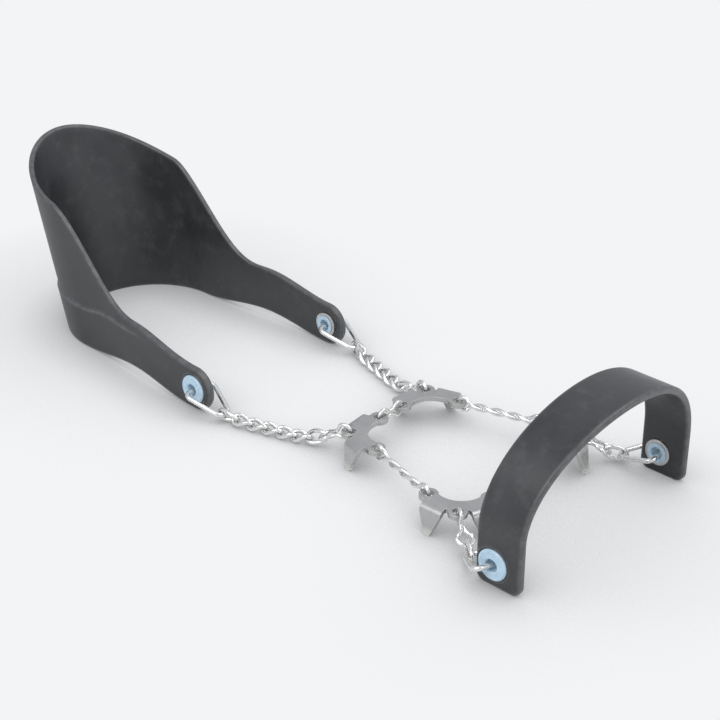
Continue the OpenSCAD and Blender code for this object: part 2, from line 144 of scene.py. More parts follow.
# where along the heel strap's half its forms start and end, from the tab at 0 to the back at 1
CUP_START = 0.3
CUP_END = 0.6
CUP_BLEND = 1.5
SPINE_START = 0.45
LEAN_START = 0.3
LEAN_END = 0.7
STEP_START = 0.2
STEP_DROP = 0.35
STEP_FADE = 0.15
FLARE_START = 0.14


def cosd(a):
    return math.cos(math.radians(a))


def sind(a):
    return math.sin(math.radians(a))


def asind(v):
    return math.degrees(math.asin(v))


def tand(a):
    return math.tan(math.radians(a))


def clamp(t):
    return min(1.0, max(0.0, t))


def smooth(t):
    c = clamp(t)
    return c * c * (3 - 2 * c)


def along(yaw, pitch):
    return Vector((cosd(pitch) * cosd(yaw), cosd(pitch) * sind(yaw), sind(pitch)))


def flat(yaw):
    return along(yaw, 0)


def power(v, e):
    return math.copysign(abs(v) ** e, v)


# plan of the left half of the spike frame
RIM = EAR_HOLE / 2 + (EAR_D - EAR_HOLE) / 4
PLATE_Z = SPIKE_H + PLATE_T / 2
REAR_B = Vector((0, REAR_LINK_LEN / 2, PLATE_Z))
REAR_A = REAR_B + PLATE_CHORD * flat(REAR_PLATE_YAW)
REAR_O = (REAR_A + REAR_B) / 2 + PLATE_APEX * flat(REAR_PLATE_YAW + 90)
FRONT_L = REAR_A + SIDE_BAR_LEN * flat(SIDE_BAR_YAW)
FRONT_D = FRONT_L + PLATE_CHORD * flat(FRONT_PLATE_YAW)
FRONT_O = (FRONT_L + FRONT_D) / 2 + PLATE_APEX * flat(FRONT_PLATE_YAW + 90)

# heel chain, from the plate's rim to the eyelet
LINK_HALF_L = (CHAIN_PITCH + CHAIN_WIRE + LINK_GAP) / 2
IN_CONNECTOR = LINK_HALF_L - (CHAIN_WIRE + BAR_WIRE) / 2 - EYE_GAP
IN_HOOK = LINK_HALF_L - (CHAIN_WIRE + HOOK_WIRE) / 2 - EYE_GAP
CURB_Z = CURB_RISE * LINK_HALF_W + CHAIN_WIRE / 2
UPRIGHT_Z = LINK_HALF_W + CHAIN_WIRE / 2
UPRIGHT_MID_Z = UPRIGHT_RISE * LINK_HALF_W + CHAIN_WIRE / 2
HEEL_DIR = 180 - CHAIN_YAW
HEEL_CONNECTOR_PITCH = -26
HEEL_FIRST_PITCH = -20
HEEL_SIXTH_PITCH = 5
HEEL_J0 = REAR_O + RIM * flat(HEEL_DIR)
HEEL_J1 = HEEL_J0 + (CONNECTOR_LEN - RIM) * along(HEEL_DIR, HEEL_CONNECTOR_PITCH)
HEEL_J2 = HEEL_J1 + (IN_CONNECTOR + CHAIN_PITCH / 2) * along(HEEL_DIR, HEEL_FIRST_PITCH)
HEEL_SECOND_PITCH = -asind((HEEL_J2.z - CURB_Z) / CHAIN_PITCH)
HEEL_J3 = HEEL_J2 + CHAIN_PITCH * along(HEEL_DIR, HEEL_SECOND_PITCH)
HEEL_J6 = HEEL_J3 + (LINKS - 4) * CHAIN_PITCH * flat(HEEL_DIR)
HEEL_J7 = HEEL_J6 + CHAIN_PITCH * along(HEEL_DIR, HEEL_SIXTH_PITCH)
HEEL_LAST_PITCH = asind((UPRIGHT_MID_Z - HEEL_J7.z) / (CHAIN_PITCH / 2))
HEEL_J8 = HEEL_J7 + (CHAIN_PITCH / 2 + IN_HOOK) * along(HEEL_DIR, HEEL_LAST_PITCH)
HEEL_HOOK_PITCH = asind((EYELET_Z - HEEL_J8.z) / HOOK_LEN)
HEEL_EYE = HEEL_J8 + HOOK_LEN * along(180, HEEL_HOOK_PITCH) + HOOK_SEAT * flat(180)

# toe side, from the plate's rim to the eyelet
TOE_CONNECTOR_PITCH = -30
TOE_J0 = FRONT_O + RIM * flat(TOE_YAW)
TOE_J1 = TOE_J0 + (CONNECTOR_LEN - RIM) * along(TOE_YAW, TOE_CONNECTOR_PITCH)
TOE_LINK_PITCH = -asind((TOE_J1.z - UPRIGHT_Z - TOE_LINK_CLEAR) / (IN_CONNECTOR + IN_HOOK))
TOE_MID = TOE_J1 + IN_CONNECTOR * along(TOE_YAW, TOE_LINK_PITCH)
TOE_J2 = TOE_MID + IN_HOOK * along(TOE_YAW, TOE_LINK_PITCH)
TOE_HOOK_PITCH = asind((EYELET_Z - TOE_J2.z) / HOOK_LEN)
TOE_EYE = TOE_J2 + HOOK_LEN * along(TOE_HOOK_YAW, TOE_HOOK_PITCH)

# straps in plan, and the part's origin
HEEL_R = HEEL_WIDTH / 2 + STRAP_T / 2
HEEL_ARC_X = HEEL_EYE.x - HEEL_REACH + HEEL_R + STRAP_T / 2
HEEL_ARM_L = HEEL_EYE.x - HEEL_ARC_X
HEEL_HALF_L = HEEL_ARM_L + HEEL_R * math.pi / 2
TAB_R = EYELET_Z
TOE_SIDE_H = 2 * EYELET_Z + TOE_SIDE_OVER
TOE_TOP = TOE_ARCH_H - STRAP_T / 2
X_BACK = HEEL_EYE.x - HEEL_REACH + HEEL_THIN - tand(HEEL_RAKE) * (HEEL_SPINE_H - STRAP_EDGE)
X_FRONT = TOE_EYE.x + TOE_SHIFT + TOE_LEAN + TOE_TOP_W / 2
X_MID = (X_BACK + X_FRONT) / 2


def to_frame(p, side):
    """A layout point as a point of the part's frame, in metres; side -1 mirrors it to the right."""
    return Vector((p[0] - X_MID, side * p[1], p[2])) * MM


def dress(obj, node, body, material):
    """Makes an object the look of a CAD node."""
    obj.data.materials.clear()
    obj.data.materials.append(material)
    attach(obj, body)
    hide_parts(node)
    return obj


def new_object(name, verts, faces):
    mesh = bpy.data.meshes.new(name)
    mesh.from_pydata(verts, [], faces)
    mesh.validate()
    mesh.shade_smooth()
    obj = bpy.data.objects.new(name, mesh)
    bpy.context.scene.collection.objects.link(obj)
    return obj


# materials: noise scales are per metre, bump distances and edge radii in metres

RUBBER_DARK = (0.027, 0.0285, 0.031)
RUBBER_LIGHT = (0.040, 0.042, 0.045)
RUBBER_DUST = (0.11, 0.113, 0.117)
# colour of worn rubber, also used for the painted highlights on the straps
RUBBER_WORN_AND_HIGHLIGHT = (0.165, 0.168, 0.173)
WIRE_DARK = (0.65, 0.65, 0.635)
WIRE_LIGHT = (0.79, 0.79, 0.78)
WIRE_STAIN = (0.42, 0.41, 0.39)
PLATE_DARK = (0.40, 0.40, 0.40)
PLATE_LIGHT = (0.52, 0.515, 0.505)
PLATE_STAIN = (0.27, 0.265, 0.255)
PLATE_WORN = (0.78, 0.77, 0.745)
BLUE_DARK = (0.41, 0.59, 0.74)
BLUE_LIGHT = (0.52, 0.68, 0.80)
BLUE_WORN = (0.68, 0.78, 0.86)
BLUE_SCUFF = (0.72, 0.80, 0.86)
ZINC_DARK = (0.50, 0.505, 0.51)
ZINC_LIGHT = (0.64, 0.64, 0.63)
ZINC_WORN = (0.78, 0.78, 0.76)
TIP_WORN = 0.0005
TIP_CLEAN = 0.0035
EDGE_SAMPLES = 8
SHADE_SAMPLES = 6


class Shader:
    """A material's node tree, with short calls for the nodes used here."""

    def __init__(self, name, colour):
        self.material = bpy.data.materials.new(name)
        self.material.use_nodes = True
        self.material.diffuse_color = (*colour, 1)
        self.tree = self.material.node_tree
        self.tree.nodes.clear()
        self.out = self.add("ShaderNodeOutputMaterial")
        self.bsdf = self.add("ShaderNodeBsdfPrincipled")
        self.tree.links.new(self.bsdf.outputs[0], self.out.inputs[0])

    def add(self, kind):
        return self.tree.nodes.new(kind)

    def put(self, socket, value):
        """Links an output, or writes a constant, to an input."""
        if isinstance(value, bpy.types.NodeSocket):
            self.tree.links.new(value, socket)
        else:
            socket.default_value = value

    def object_coords(self):
        return self.add("ShaderNodeTexCoord").outputs["Object"]

    def uv_coords(self):
        node = self.add("ShaderNodeUVMap")
        node.uv_map = "wire_uv"
        return node.outputs[0]

    def stretched(self, coords, scale, turn=(0, 0, 0)):
        node = self.add("ShaderNodeMapping")
        self.put(node.inputs["Vector"], coords)
        node.inputs["Scale"].default_value = scale
        node.inputs["Rotation"].default_value = [math.radians(a) for a in turn]
        return node.outputs[0]

    def noise(self, coords, scale, detail=3.0, rough=0.55):
        node = self.add("ShaderNodeTexNoise")
        self.put(node.inputs["Vector"], coords)
        node.inputs["Scale"].default_value = scale
        node.inputs["Detail"].default_value = detail
        node.inputs["Roughness"].default_value = rough
        return node.outputs["Fac"]

    def spread(self, value, low, high, to_low=0.0, to_high=1.0):
        """Maps a value from one range to another, clamped."""
        node = self.add("ShaderNodeMapRange")
        node.clamp = True
        keys = ("Value", "From Min", "From Max", "To Min", "To Max")
        for key, v in zip(keys, (value, low, high, to_low, to_high)):
            self.put(node.inputs[key], v)
        return node.outputs[0]

    def maths(self, operation, a, b=0.0):
        node = self.add("ShaderNodeMath")
        node.operation = operation
        node.use_clamp = operation != "SUBTRACT"
        self.put(node.inputs[0], a)
        self.put(node.inputs[1], b)
        return node.outputs[0]

    def share(self, value, amount):
        return self.maths("MULTIPLY", value, amount)

    def mix(self, fac, a, b):
        """A mix of two colours."""
        node = self.add("ShaderNodeMix")
        node.data_type = "RGBA"
        self.put(node.inputs["Factor"], fac)
        for socket, value in ((node.inputs[6], a), (node.inputs[7], b)):
            self.put(socket, value if isinstance(value, bpy.types.NodeSocket) else (*value, 1))
        return node.outputs[2]

    def bump(self, height, strength, distance, normal=None):
        node = self.add("ShaderNodeBump")
        node.inputs["Strength"].default_value = strength
        node.inputs["Distance"].default_value = distance
        self.put(node.inputs["Height"], height)
        if normal is not None:
            self.put(node.inputs["Normal"], normal)
        return node.outputs[0]

    def edges(self, radius, low, high):
        """About 1 on sharp edges, 0 on flat faces."""
        bevel = self.add("ShaderNodeBevel")
        bevel.samples = EDGE_SAMPLES
        bevel.inputs["Radius"].default_value = radius
        geometry = self.add("ShaderNodeNewGeometry")
        dot = self.add("ShaderNodeVectorMath")
        dot.operation = "DOT_PRODUCT"
        self.put(dot.inputs[0], bevel.outputs[0])
        self.put(dot.inputs[1], geometry.outputs["Normal"])
        return self.spread(dot.outputs["Value"], high, low)

    def attribute(self, name):
        node = self.add("ShaderNodeAttribute")
        node.attribute_name = name
        return node.outputs["Fac"]

    def height(self, coords):
        node = self.add("ShaderNodeSeparateXYZ")
        self.put(node.inputs[0], coords)
        return node.outputs["Z"]

    def openness(self, reach):
        """1 where nothing stands over a point within reach, less where something does."""
        node = self.add("ShaderNodeAmbientOcclusion")
        node.samples = SHADE_SAMPLES
        node.inputs["Distance"].default_value = reach
        return node.outputs["AO"]

    def blend(self, share, a, b):
        """A mix of two shaders."""
        node = self.add("ShaderNodeMixShader")
        for socket, value in zip(node.inputs, (share, a, b)):
            self.put(socket, value)
        return node.outputs[0]

    def surface(self, colour, roughness, normal=None, metallic=0.0, specular=0.5):
        self.put(self.bsdf.inputs["Base Color"], colour)
        self.put(self.bsdf.inputs["Roughness"], roughness)
        if normal is not None:
            self.put(self.bsdf.inputs["Normal"], normal)
        self.bsdf.inputs["Metallic"].default_value = metallic
        self.bsdf.inputs["Specular IOR Level"].default_value = specular
        return self.material


def rubber_material():
    s = Shader("rubber_charcoal", (0.065, 0.067, 0.07))
    at = s.object_coords()
    cloud = s.noise(at, scale=55, detail=4)
    grain = s.noise(at, scale=2600, detail=2)
    peel = s.noise(at, scale=420, detail=2)
    dust = s.spread(s.noise(at, scale=140, detail=6, rough=0.7), 0.52, 0.74)
    patches = s.spread(s.noise(at, scale=380, detail=4), 0.35, 0.65, to_low=0.45)
    # the attribute read here lightens worn edges, which also paints an edge highlight, and paints a highlight
    # along the heel strap's step and on the raised eyelet rings
    worn = s.maths("MULTIPLY", s.attribute("wear_and_highlight"), patches)
    colour = s.mix(s.spread(cloud, 0.35, 0.65), RUBBER_DARK, RUBBER_LIGHT)
    colour = s.mix(s.share(dust, 0.3), colour, RUBBER_DUST)
    colour = s.mix(s.share(worn, 0.6), colour, RUBBER_WORN_AND_HIGHLIGHT)
    rough = s.spread(cloud, 0.3, 0.7, to_low=0.33, to_high=0.45)
    rough = s.maths("ADD", rough, s.share(dust, 0.12))
    normal = s.bump(peel, strength=0.12, distance=0.0004)
    normal = s.bump(grain, strength=0.22, distance=0.00012, normal=normal)
    return s.surface(colour, rough, normal)


def wire_material():
    s = Shader("wire_steel_bright", (0.8, 0.8, 0.78))
    at = s.object_coords()
    streak = s.noise(s.stretched(s.uv_coords(), scale=(260, 5200, 1)), scale=1)
    cloud = s.noise(at, scale=190)
    stain = s.spread(s.noise(at, scale=520, detail=5, rough=0.65), 0.58, 0.76)
    colour = s.mix(cloud, WIRE_DARK, WIRE_LIGHT)
    colour = s.mix(s.share(stain, 0.35), colour, WIRE_STAIN)
    rough = s.spread(streak, 0.3, 0.7, to_low=0.2, to_high=0.33)
    rough = s.maths("ADD", rough, s.share(stain, 0.18))
    normal = s.bump(streak, strength=0.18, distance=0.00006)
    return s.surface(colour, rough, normal, metallic=1.0)


def plate_material():
    s = Shader("plate_steel_satin", (0.68, 0.67, 0.65))
    at = s.object_coords()
    cloud = s.noise(at, scale=120, detail=4)
    blast = s.noise(at, scale=3600, detail=2)
    scratch = s.noise(s.stretched(at, scale=(300, 6200, 300), turn=(0, 0, 31)), scale=1, detail=2)
    cross_scratch = s.noise(s.stretched(at, scale=(260, 5600, 260), turn=(0, 0, -48)), scale=1, detail=2)
    lines = s.maths("MAXIMUM", s.spread(scratch, 0.66, 0.74), s.spread(cross_scratch, 0.68, 0.75))
    tip = s.spread(s.height(at), TIP_WORN, TIP_CLEAN, to_low=1, to_high=0)
    worn = s.maths("MAXIMUM", s.edges(radius=0.0005, low=0.72, high=0.97), tip)
    stain = s.spread(s.noise(at, scale=420, detail=5, rough=0.66), 0.56, 0.74)
    colour = s.mix(cloud, PLATE_DARK, PLATE_LIGHT)
    colour = s.mix(s.share(stain, 0.3), colour, PLATE_STAIN)
    colour = s.mix(s.share(worn, 0.8), colour, PLATE_WORN)
    rough = s.spread(cloud, 0.3, 0.7, to_low=0.34, to_high=0.46)
    rough = s.maths("ADD", rough, s.share(lines, 0.12))
    rough = s.maths("SUBTRACT", rough, s.share(worn, 0.14))
    normal = s.bump(blast, strength=0.22, distance=0.00008)
    normal = s.bump(lines, strength=0.2, distance=0.00008, normal=normal)
    return s.surface(colour, rough, normal, metallic=1.0)


def eyelet_material():
    s = Shader("eyelet_pale_blue", (0.5, 0.66, 0.8))
    at = s.object_coords()
    cloud = s.noise(at, scale=260)
    scuff = s.noise(s.stretched(at, scale=(900, 900, 3200), turn=(18, 0, 12)), scale=1)
    scuff = s.spread(scuff, 0.6, 0.72)
    worn = s.edges(radius=0.0005, low=0.75, high=0.97)
    colour = s.mix(s.spread(cloud, 0.3, 0.7), BLUE_DARK, BLUE_LIGHT)
    colour = s.mix(s.share(worn, 0.5), colour, BLUE_WORN)
    colour = s.mix(s.share(scuff, 0.25), colour, BLUE_SCUFF)
    rough = s.spread(cloud, 0.3, 0.7, to_low=0.24, to_high=0.36)
    rough = s.maths("ADD", rough, s.share(scuff, 0.2))
    normal = s.bump(s.noise(at, scale=1500, detail=2), strength=0.08, distance=0.0001)
    normal = s.bump(scuff, strength=0.1, distance=0.00005, normal=normal)
    material = s.surface(colour, rough, normal)
    s.bsdf.inputs["Coat Weight"].default_value = 0.3
    s.bsdf.inputs["Coat Roughness"].default_value = 0.15
    return material


def washer_material():
    s = Shader("washer_zinc", (0.6, 0.6, 0.6))
    at = s.object_coords()
    spangle = s.add("ShaderNodeTexVoronoi")
    s.put(spangle.inputs["Vector"], at)
    spangle.inputs["Scale"].default_value = 900
    cloud = s.noise(at, scale=300, detail=4)
    worn = s.edges(radius=0.0003, low=0.75, high=0.97)
    colour = s.mix(spangle.outputs["Distance"], ZINC_DARK, ZINC_LIGHT)
    colour = s.mix(s.share(worn, 0.6), colour, ZINC_WORN)
    rough = s.spread(cloud, 0.3, 0.7, to_low=0.34, to_high=0.52)
    normal = s.bump(s.noise(at, scale=2800, detail=2), strength=0.15, distance=0.00008)
    return s.surface(colour, rough, normal, metallic=1.0)


RUBBER = rubber_material()
WIRE = wire_material()
PLATE = plate_material()
BLUE = eyelet_material()
ZINC = washer_material()


# wire: closed loops of round wire with one closing weld

WIRE_SIDES = 16
WIRE_STEP = 0.28
WELD_RISE = 0.05
WELD_LEN = 0.45
SHANK_STEPS = 200
EYE_STEPS = 40
LINK_STEPS = 720
HOOK_STEPS = 30


def resampled(points, step):
    """The closed line through flat points, cut into about equal steps."""
    count = len(points)
    reach = [0.0]
    for i in range(count):
        reach.append(reach[-1] + (points[(i + 1) % count] - points[i]).length)
    total = reach[-1]
    pieces = math.ceil(total / step)
    out = []
    k = 0
    for i in range(pieces):
        goal = total * i / pieces
        while reach[k + 1] <= goal:
            k += 1
        part = (goal - reach[k]) / (reach[k + 1] - reach[k])
        out.append(points[k].lerp(points[(k + 1) % count], part))
    return out


def twisted(outline, turn_of):
    """A flat outline with each point turned about X by its own angle, and the directions across the wire."""
    path = []
    across = []
    for p in outline:
        q = turn_of(p.x)
        path.append(Vector((p.x, p.y * cosd(q), p.y * sind(q))))
        across.append(Vector((0, -sind(q), cosd(q))))
    return path, across


def wire(node, body, loop, radius, at, yaw, pitch, side, weld_at):
    """A loop of wire, placed as its CAD node is; weld_at is the ring that the weld is nearest to."""
    path, across = loop
    place = Matrix.Translation(at)
    place = place @ Matrix.Rotation(math.radians(yaw), 4, "Z") @ Matrix.Rotation(math.radians(-pitch), 4, "Y")
    count = len(path)
    weld = min(range(count), key=lambda i: (path[i] - weld_at).length)
    verts = []
    reach = [0.0]
    for i, p in enumerate(path):
        tangent = (path[(i + 1) % count] - path[i - 1]).normalized()
        a = (across[i] - across[i].dot(tangent) * tangent).normalized()
        b = tangent.cross(a)
        off = (p - path[weld]).length
        r = radius * (1 + WELD_RISE * math.exp(-(off / WELD_LEN) ** 2))
        for k in range(WIRE_SIDES):
            q = 360 * k / WIRE_SIDES
            verts.append(to_frame(place @ (p + r * (cosd(q) * a + sind(q) * b)), side))
        reach.append(reach[-1] + (path[(i + 1) % count] - p).length)
    faces = []
    uvs = []
    girth = 2 * math.pi * radius / WIRE_SIDES
    for i in range(count):
        j = (i + 1) % count
        for k in range(WIRE_SIDES):
            m = (k + 1) % WIRE_SIDES
            quad = [(i, k), (j, k), (j, m), (i, m)]
            uv = [(i, k), (i + 1, k), (i + 1, k + 1), (i, k + 1)]
            if side > 0:
                quad.reverse()
                uv.reverse()
            faces.append([ring * WIRE_SIDES + spot for ring, spot in quad])
            uvs += [(reach[ring] * MM, spot * girth * MM) for ring, spot in uv]
    obj = new_object(node + "_wire", verts, faces)
    layer = obj.data.uv_layers.new(name="wire_uv")
    for loop_uv, uv in zip(layer.data, uvs):
        loop_uv.uv = uv
    return dress(obj, node, body, WIRE)


def eye_link(u0, u1, ra, rb, la, lb, turn_a, turn_b):
    """A link from u0 to u1 with eyes of radius ra and rb, pinched over la and lb and twisted between."""
    ca = u0 + ra
    cb = u1 - rb

    def half(u):
        if u < ca + la:
            return STRAND_HALF + (ra - STRAND_HALF) * (1 - smooth((u - ca) / la))
        if u > cb - lb:
            return STRAND_HALF + (rb - STRAND_HALF) * smooth((u - cb + lb) / lb)
        return STRAND_HALF

    def turn(u):
        return turn_a + (turn_b - turn_a) * clamp((u - ua) / (ub - ua))

    ua = ca + TWIST_START * la
    ub = cb - TWIST_START * lb
    shank = [ca + (cb - ca) * i / SHANK_STEPS for i in range(SHANK_STEPS + 1)]
    arc = [180 * i / EYE_STEPS for i in range(1, EYE_STEPS)]
    outline = [Vector((u, half(u))) for u in shank]
    outline += [Vector((cb + rb * cosd(90 - q), rb * sind(90 - q))) for q in arc]
    outline += [Vector((u, -half(u))) for u in reversed(shank)]
    outline += [Vector((ca + ra * cosd(-90 - q), ra * sind(-90 - q))) for q in arc]
    return twisted(resampled(outline, WIRE_STEP), turn)


def chain_loop(turn_a, turn_b):
    """A chain link: a squared oval, turned by turn_a at one end and turn_b at the other."""
    def turn(u):
        return turn_a + (turn_b - turn_a) * smooth(u / (2 * LINK_HALF_L) + 0.5)

    outline = []
    for i in range(LINK_STEPS):
        q = 360 * (i + 0.5) / LINK_STEPS
        u = LINK_HALF_L * power(cosd(q), 2 / LINK_SQUARE)
        outline.append(Vector((u, LINK_HALF_W * power(sind(q), 2 / LINK_SQUARE))))
    return twisted(resampled(outline, WIRE_STEP), turn)


def hook_loop(half):
    """A rounded triangle of wire: nose in the chain, straight side through the eyelet."""
    cb = HOOK_LEN - HOOK_CORNER
    reach = math.hypot(cb - HOOK_NOSE, half - HOOK_CORNER)
    q = 90 + math.degrees(math.atan2(half - HOOK_CORNER, cb - HOOK_NOSE))
    q += asind((HOOK_CORNER - HOOK_NOSE) / reach)
    outline = []
    for i in range(HOOK_STEPS + 1):
        a = 360 - q + (2 * q - 360) * i / HOOK_STEPS
        outline.append(Vector((HOOK_NOSE + HOOK_NOSE * cosd(a), HOOK_NOSE * sind(a))))
    for i in range(HOOK_STEPS + 1):
        a = q - q * i / HOOK_STEPS
        outline.append(Vector((cb + HOOK_CORNER * cosd(a), half - HOOK_CORNER + HOOK_CORNER * sind(a))))
    for i in range(HOOK_STEPS + 1):
        a = -q * i / HOOK_STEPS
        outline.append(Vector((cb + HOOK_CORNER * cosd(a), HOOK_CORNER - half + HOOK_CORNER * sind(a))))
    return twisted(resampled(outline, WIRE_STEP), lambda u: 0)


def link_place(number):
    """Middle, pitch and end twists of one heel chain link, counted from the plate."""
    if number == 1:
        return HEEL_J1 + IN_CONNECTOR * along(HEEL_DIR, HEEL_FIRST_PITCH), HEEL_FIRST_PITCH, 90, CURB_TWIST
    if number == 2:
        return (HEEL_J2 + HEEL_J3) / 2, HEEL_SECOND_PITCH, -CURB_TWIST, CURB_TWIST
    if number < LINKS - 1:
        return HEEL_J3 + (number - 2.5) * CHAIN_PITCH * flat(HEEL_DIR), 0, -CURB_TWIST, CURB_TWIST
    if number < LINKS:
        return (HEEL_J6 + HEEL_J7) / 2, HEEL_SIXTH_PITCH, -CURB_TWIST, CURB_TWIST
    last = HEEL_J7 + CHAIN_PITCH / 2 * along(HEEL_DIR, HEEL_LAST_PITCH)
    return last, HEEL_LAST_PITCH, -CURB_TWIST, -90


def bar_loop(length):
    return eye_link(0, length, RIM, RIM, EYE_TAPER, EYE_TAPER, 90, 90 + 180 * BAR_HALF_TURNS)


def connector_loop():
    return eye_link(-RIM, CONNECTOR_LEN - RIM, RIM, CONNECTOR_EYE, EYE_TAPER, SHORT_TAPER, 90, 0)


def rear_loop():
    return eye_link(0, REAR_LINK_LEN, RIM, RIM, SHORT_TAPER, SHORT_TAPER, 90, 90)


def flip(p):
    return Vector((p.x, -p.y, p.z))


bar_r = BAR_WIRE / 2
wire("rear_link", "rear_link", rear_loop(), bar_r,
     flip(REAR_B), 90, 0, 1, Vector((REAR_LINK_LEN / 2, 0, STRAND_HALF)))
wire("front_bar", "front_bar", bar_loop(2 * FRONT_D.y), bar_r,
     flip(FRONT_D), 90, 0, 1, Vector((FRONT_D.y, 0, STRAND_HALF)))
for side, tag in SIDES:
    wire("side_bar_" + tag, "side_bars", bar_loop(SIDE_BAR_LEN), bar_r,
         REAR_A, SIDE_BAR_YAW, 0, side, Vector((SIDE_BAR_LEN / 2, 0, STRAND_HALF)))
    wire("heel_connector_" + tag, "heel_connectors", connector_loop(), bar_r,
         HEEL_J0, HEEL_DIR, HEEL_CONNECTOR_PITCH, side, Vector((CONNECTOR_LEN / 3, 0, STRAND_HALF)))
    wire("toe_connector_" + tag, "toe_connectors", connector_loop(), bar_r,
         TOE_J0, TOE_YAW, TOE_CONNECTOR_PITCH, side, Vector((CONNECTOR_LEN / 3, 0, STRAND_HALF)))
    for number in range(1, LINKS + 1):
        middle, pitch, turn_a, turn_b = link_place(number)
        mid_turn = (turn_a + turn_b) / 2
        weld = LINK_HALF_W * Vector((0, cosd(mid_turn), sind(mid_turn)))
        wire(f"heel_link_{number}_{tag}", f"heel_links_{number}", chain_loop(turn_a, turn_b), CHAIN_WIRE / 2,
             middle, HEEL_DIR, pitch, side, weld)
    wire("toe_link_" + tag, "toe_links", chain_loop(90, 90), CHAIN_WIRE / 2,
         TOE_MID, TOE_YAW, TOE_LINK_PITCH, side, Vector((0, 0, LINK_HALF_W)))
    wire("heel_hook_" + tag, "heel_hooks", hook_loop(HEEL_HOOK_HALF), HOOK_WIRE / 2,
         HEEL_J8, 180, HEEL_HOOK_PITCH, side, Vector((HOOK_LEN / 2, -HEEL_HOOK_HALF / 2, 0)))
    wire("toe_hook_" + tag, "toe_hooks", hook_loop(TOE_HOOK_HALF), HOOK_WIRE / 2,
         TOE_J2, TOE_HOOK_YAW, TOE_HOOK_PITCH, side, Vector((HOOK_LEN / 2, TOE_HOOK_HALF / 2, 0)))


# spike plates: the stamped solids with their edges broken

PLATE_BREAK = 0.28 * MM
PLATE_BREAK_CUTS = 3
PLATE_BREAK_PROFILE = 0.6
PLATE_WELD = 1e-6
PLATE_FLAT_ANGLE = 0.5
PLATE_EDGE_ANGLE = 35
PLATE_NORMAL_WEIGHT = 60


def plate(node, body):
    bm = bmesh.new()
    bm.from_mesh(frame["nodes"][node].data)
    bmesh.ops.remove_doubles(bm, verts=bm.verts, dist=PLATE_WELD)
    bmesh.ops.dissolve_limit(bm, angle_limit=math.radians(PLATE_FLAT_ANGLE), verts=bm.verts, edges=bm.edges)
    limit = math.radians(PLATE_EDGE_ANGLE)
    sharp = [e for e in bm.edges if e.is_manifold and e.calc_face_angle() > limit]
    bmesh.ops.bevel(bm, geom=sharp, offset=PLATE_BREAK, offset_type="OFFSET", segments=PLATE_BREAK_CUTS,
                    profile=PLATE_BREAK_PROFILE, affect="EDGES", clamp_overlap=True)
    mesh = bpy.data.meshes.new(node + "_stamped")
    bm.to_mesh(mesh)
    bm.free()
    mesh.shade_smooth()
    obj = bpy.data.objects.new(mesh.name, mesh)
    bpy.context.scene.collection.objects.link(obj)
    weighted = obj.modifiers.new("weighted", "WEIGHTED_NORMAL")
    weighted.weight = PLATE_NORMAL_WEIGHT
    return dress(obj, node, body, PLATE)


for side, tag in SIDES:
    plate("rear_plate_" + tag, "rear_plates")
    plate("front_plate_" + tag, "front_plates")


# eyelets and washers: turned on the eyelet's own axis

LATHE_SIDES = 96
CORNER_STEPS = 5
CORNER_MOST = 0.45
EYELET_ROUND = 0.3
WASHER_ROUND = 0.18
RIM_PROFILE = ((0.0, 0.5), (0.7, 0.86), (1.5, 0.78))
BORE_PROFILE = ((1.5, 0.8), (0.8, 1.0), (0.2, 0.85), (0.0, 0.4))


def rounded(corners, cut):
    """A closed outline with each corner rounded off by at most cut."""
    out = []
    for i, p in enumerate(corners):
        a = corners[i - 1] - p
        b = corners[(i + 1) % len(corners)] - p
        start = p + a * min(CORNER_MOST, cut / a.length)
        end = p + b * min(CORNER_MOST, cut / b.length)
        for k in range(CORNER_STEPS + 1):
            t = k / CORNER_STEPS
            out.append(start.lerp(p, t).lerp(p.lerp(end, t), t))
    return out


def lathe(name, outline, centre, side):
    """Turns an outline of (radius, distance outward) about the eyelet's axis."""
    verts = []
    for k in range(LATHE_SIDES):
        q = 360 * k / LATHE_SIDES
        for p in outline:
            verts.append(to_frame(centre + Vector((p.x * cosd(q), p.y, p.x * sind(q))), side))
    count = len(outline)
    faces = []
    for k in range(LATHE_SIDES):
        m = (k + 1) % LATHE_SIDES
        for i in range(count):
            j = (i + 1) % count
            quad = [k * count + i, k * count + j, m * count + j, m * count + i]
            faces.append(quad if side > 0 else quad[::-1])
    return new_object(name, verts, faces)


def eyelet_outline():
    """Lip, barrel and dished flange; profiles give distances from rim or bore and shares of the flange."""
    outer = STRAP_T / 2
    back = -STRAP_T / 2 - WASHER_T
    bore = EYELET_BORE / 2
    rim = EYELET_FLANGE / 2
    corners = [(bore, back - LIP_T), (LIP_D / 2, back - LIP_T), (LIP_D / 2, back), (EYELET_BARREL / 2, back),
               (EYELET_BARREL / 2, outer), (rim, outer)]
    corners += [(rim - inward, outer + share * FLANGE_T) for inward, share in RIM_PROFILE]
    corners += [(bore + outward, outer + share * FLANGE_T) for outward, share in BORE_PROFILE]
    return rounded([Vector(c) for c in corners], EYELET_ROUND)


def washer_outline():
    outer = WASHER_D / 2
    front = -STRAP_T / 2
    corners = [(SEAT_R, front - WASHER_T), (outer, front - WASHER_T), (outer, front), (SEAT_R, front)]
    return rounded([Vector(c) for c in corners], WASHER_ROUND)


for side, tag in SIDES:
    for end, centre in (("heel", HEEL_EYE), ("toe", TOE_EYE)):
        dress(lathe(f"{end}_eyelet_{tag}_turned", eyelet_outline(), centre, side),
              f"{end}_eyelet_{tag}", end + "_strap", BLUE)
        dress(lathe(f"{end}_washer_{tag}_turned", washer_outline(), centre, side),
              f"{end}_washer_{tag}", end + "_strap", ZINC)


# straps: moulded rubber sheets with rounded edges and a raised ring round each eyelet

